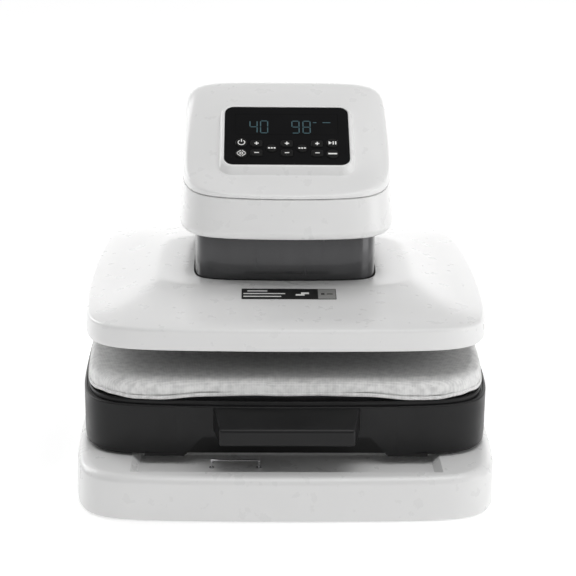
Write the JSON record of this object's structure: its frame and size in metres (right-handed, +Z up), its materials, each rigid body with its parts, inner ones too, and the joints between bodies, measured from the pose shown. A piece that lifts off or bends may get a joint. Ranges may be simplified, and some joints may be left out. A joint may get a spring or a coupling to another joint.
{
  "type": "drawer-type automatic heat press",
  "caption": "Automatic heat press with a pull-out cloth-covered lower platen, a motor-driven hot platen moving down from a domed head, and a sloped key panel.",
  "frame": {"origin": "on the floor under the middle of the base", "axes": "+Z up, the drawer pulls out and the panel faces towards -Y, +X to the right seen from the front"},
  "size_m": [0.422, 0.53, 0.3777],
  "materials": {
    "white_shell": "glossy moulded plastic",
    "charcoal_plastic": "satin moulded plastic",
    "black_plastic": "matt moulded plastic",
    "black_gloss": "high gloss",
    "smoked_lens": "dark tinted window",
    "key_plastic": "satin keys with pale printed icons",
    "gunmetal": "glossy dark metallic",
    "frame_steel": "powder coated steel",
    "zinc_steel": "zinc plated sheet",
    "bright_steel": "ground steel",
    "bronze": "cast bronze",
    "rubber": "matt rubber",
    "motor_grey": "painted can",
    "circuit_board": "solder mask",
    "coated_aluminium": "dark non-stick coat",
    "insulation": "glass fibre mat",
    "nylon": "moulded gear",
    "board": "pressed board",
    "silicone_pad": "silicone foam",
    "pad_cloth": "woven cotton",
    "red_plastic": "glossy"
  },
  "bodies": {
    "frame": {"base_shell": "white_shell", "base_plate": "zinc_steel", "rubber_feet": "rubber", "outer_rails": "zinc_steel", "spine_frame": "frame_steel", "head_arm": "frame_steel", "guide_bushes": "bronze", "screw_bearings": "bright_steel", "motor_bracket": "zinc_steel", "gear_motor": "motor_grey", "column_cover": "white_shell", "rear_panel": "charcoal_plastic", "power_inlet": "black_plastic", "switch_body": "black_plastic", "head_skirt": "white_shell", "head_cover": "white_shell", "panel_bezel": "black_gloss", "display_lens": "smoked_lens", "display_module": "black_plastic", "control_board": "circuit_board", "key_switches": "black_plastic", "power_board": "circuit_board", "heater_relay": "black_plastic", "latch_wire": "bright_steel", "drawer_sensor": "black_plastic", "case_screws": "bright_steel"},
    "press": {"platen_cover": "white_shell", "heating_plate": "coated_aluminium", "heating_element": "bright_steel", "insulation_mat": "insulation", "carrier_plate": "frame_steel", "press_post": "frame_steel", "screw_nut": "bronze", "guide_rods": "bright_steel", "neck_shroud": "gunmetal", "label_plate": "black_plastic", "thermostat": "black_plastic"},
    "screw": {"lead_screw": "bright_steel", "drive_gear": "nylon"},
    "pinion": {"motor_pinion": "bright_steel"},
    "drawer": {"drawer_tray": "charcoal_plastic", "drawer_handle": "charcoal_plastic", "inner_rails": "zinc_steel", "lower_board": "board", "pad_foam": "silicone_pad", "pad_cover": "pad_cloth"},
    "mid_rail": {"mid_rails": "bright_steel"},
    "rocker": {"power_rocker": "red_plastic"},
    "power_button_key": {"power_button": "key_plastic"},
    "settings_button_key": {"settings_button": "key_plastic"},
    "temp_up_button_key": {"temp_up_button": "key_plastic"},
    "temp_down_button_key": {"temp_down_button": "key_plastic"},
    "mode_button_key": {"mode_button": "key_plastic"},
    "time_up_button_key": {"time_up_button": "key_plastic"},
    "time_down_button_key": {"time_down_button": "key_plastic"},
    "unit_button_key": {"unit_button": "key_plastic"},
    "level_up_button_key": {"level_up_button": "key_plastic"},
    "level_down_button_key": {"level_down_button": "key_plastic"},
    "start_button_key": {"start_button": "key_plastic"},
    "auto_button_key": {"auto_button": "key_plastic"}
  },
  "joints": [
    {"name": "press_slide", "type": "slide", "parent": "frame", "child": "press", "axis": [0, 0, -1], "range_m": [0, 0.028]},
    {"name": "screw_spin", "type": "hinge", "parent": "frame", "child": "screw", "pos_m": [0, -0.01, 0.26], "axis": [0, 0, 1], "range_deg": [0, 1262]},
    {"name": "pinion_spin", "type": "hinge", "parent": "frame", "child": "pinion", "pos_m": [0, 0.038, 0.312], "axis": [0, 0, 1], "range_deg": [-3784, 0]},
    {"name": "drawer_slide", "type": "slide", "parent": "frame", "child": "drawer", "axis": [0, -1, 0], "range_m": [0, 0.34]},
    {"name": "mid_rail_slide", "type": "slide", "parent": "frame", "child": "mid_rail", "axis": [0, -1, 0], "range_m": [0, 0.1702]},
    {"name": "rocker_tilt", "type": "hinge", "parent": "frame", "child": "rocker", "pos_m": [0.082, 0.254, 0.0885], "axis": [1, 0, 0], "range_deg": [0, 15]},
    {"name": "power_press", "type": "slide", "parent": "frame", "child": "power_button_key", "axis": [0, 0.5284, -0.849], "range_m": [0, 0.0009], "stiffness_N_per_m": 900, "springref_m": -0.0001},
    {"name": "settings_press", "type": "slide", "parent": "frame", "child": "settings_button_key", "axis": [0, 0.5284, -0.849], "range_m": [0, 0.0009], "stiffness_N_per_m": 900, "springref_m": -0.0001},
    {"name": "temp_up_press", "type": "slide", "parent": "frame", "child": "temp_up_button_key", "axis": [0, 0.5284, -0.849], "range_m": [0, 0.0009], "stiffness_N_per_m": 900, "springref_m": -0.0001},
    {"name": "temp_down_press", "type": "slide", "parent": "frame", "child": "temp_down_button_key", "axis": [0, 0.5284, -0.849], "range_m": [0, 0.0009], "stiffness_N_per_m": 900, "springref_m": -0.0001},
    {"name": "mode_press", "type": "slide", "parent": "frame", "child": "mode_button_key", "axis": [0, 0.5284, -0.849], "range_m": [0, 0.0009], "stiffness_N_per_m": 900, "springref_m": -0.0001},
    {"name": "time_up_press", "type": "slide", "parent": "frame", "child": "time_up_button_key", "axis": [0, 0.5284, -0.849], "range_m": [0, 0.0009], "stiffness_N_per_m": 900, "springref_m": -0.0001},
    {"name": "time_down_press", "type": "slide", "parent": "frame", "child": "time_down_button_key", "axis": [0, 0.5284, -0.849], "range_m": [0, 0.0009], "stiffness_N_per_m": 900, "springref_m": -0.0001},
    {"name": "unit_press", "type": "slide", "parent": "frame", "child": "unit_button_key", "axis": [0, 0.5284, -0.849], "range_m": [0, 0.0009], "stiffness_N_per_m": 900, "springref_m": -0.0001},
    {"name": "level_up_press", "type": "slide", "parent": "frame", "child": "level_up_button_key", "axis": [0, 0.5284, -0.849], "range_m": [0, 0.0009], "stiffness_N_per_m": 900, "springref_m": -0.0001},
    {"name": "level_down_press", "type": "slide", "parent": "frame", "child": "level_down_button_key", "axis": [0, 0.5284, -0.849], "range_m": [0, 0.0009], "stiffness_N_per_m": 900, "springref_m": -0.0001},
    {"name": "start_press", "type": "slide", "parent": "frame", "child": "start_button_key", "axis": [0, 0.5284, -0.849], "range_m": [0, 0.0009], "stiffness_N_per_m": 900, "springref_m": -0.0001},
    {"name": "auto_press", "type": "slide", "parent": "frame", "child": "auto_button_key", "axis": [0, 0.5284, -0.849], "range_m": [0, 0.0009], "stiffness_N_per_m": 900, "springref_m": -0.0001}
  ],
  "couplings": [
    {"joint": "screw_spin", "follows": "press_slide", "rad_per_m": 785.4},
    {"joint": "pinion_spin", "follows": "press_slide", "rad_per_m": -2356.2},
    {"joint": "mid_rail_slide", "follows": "drawer_slide", "ratio": 0.5}
  ]
}
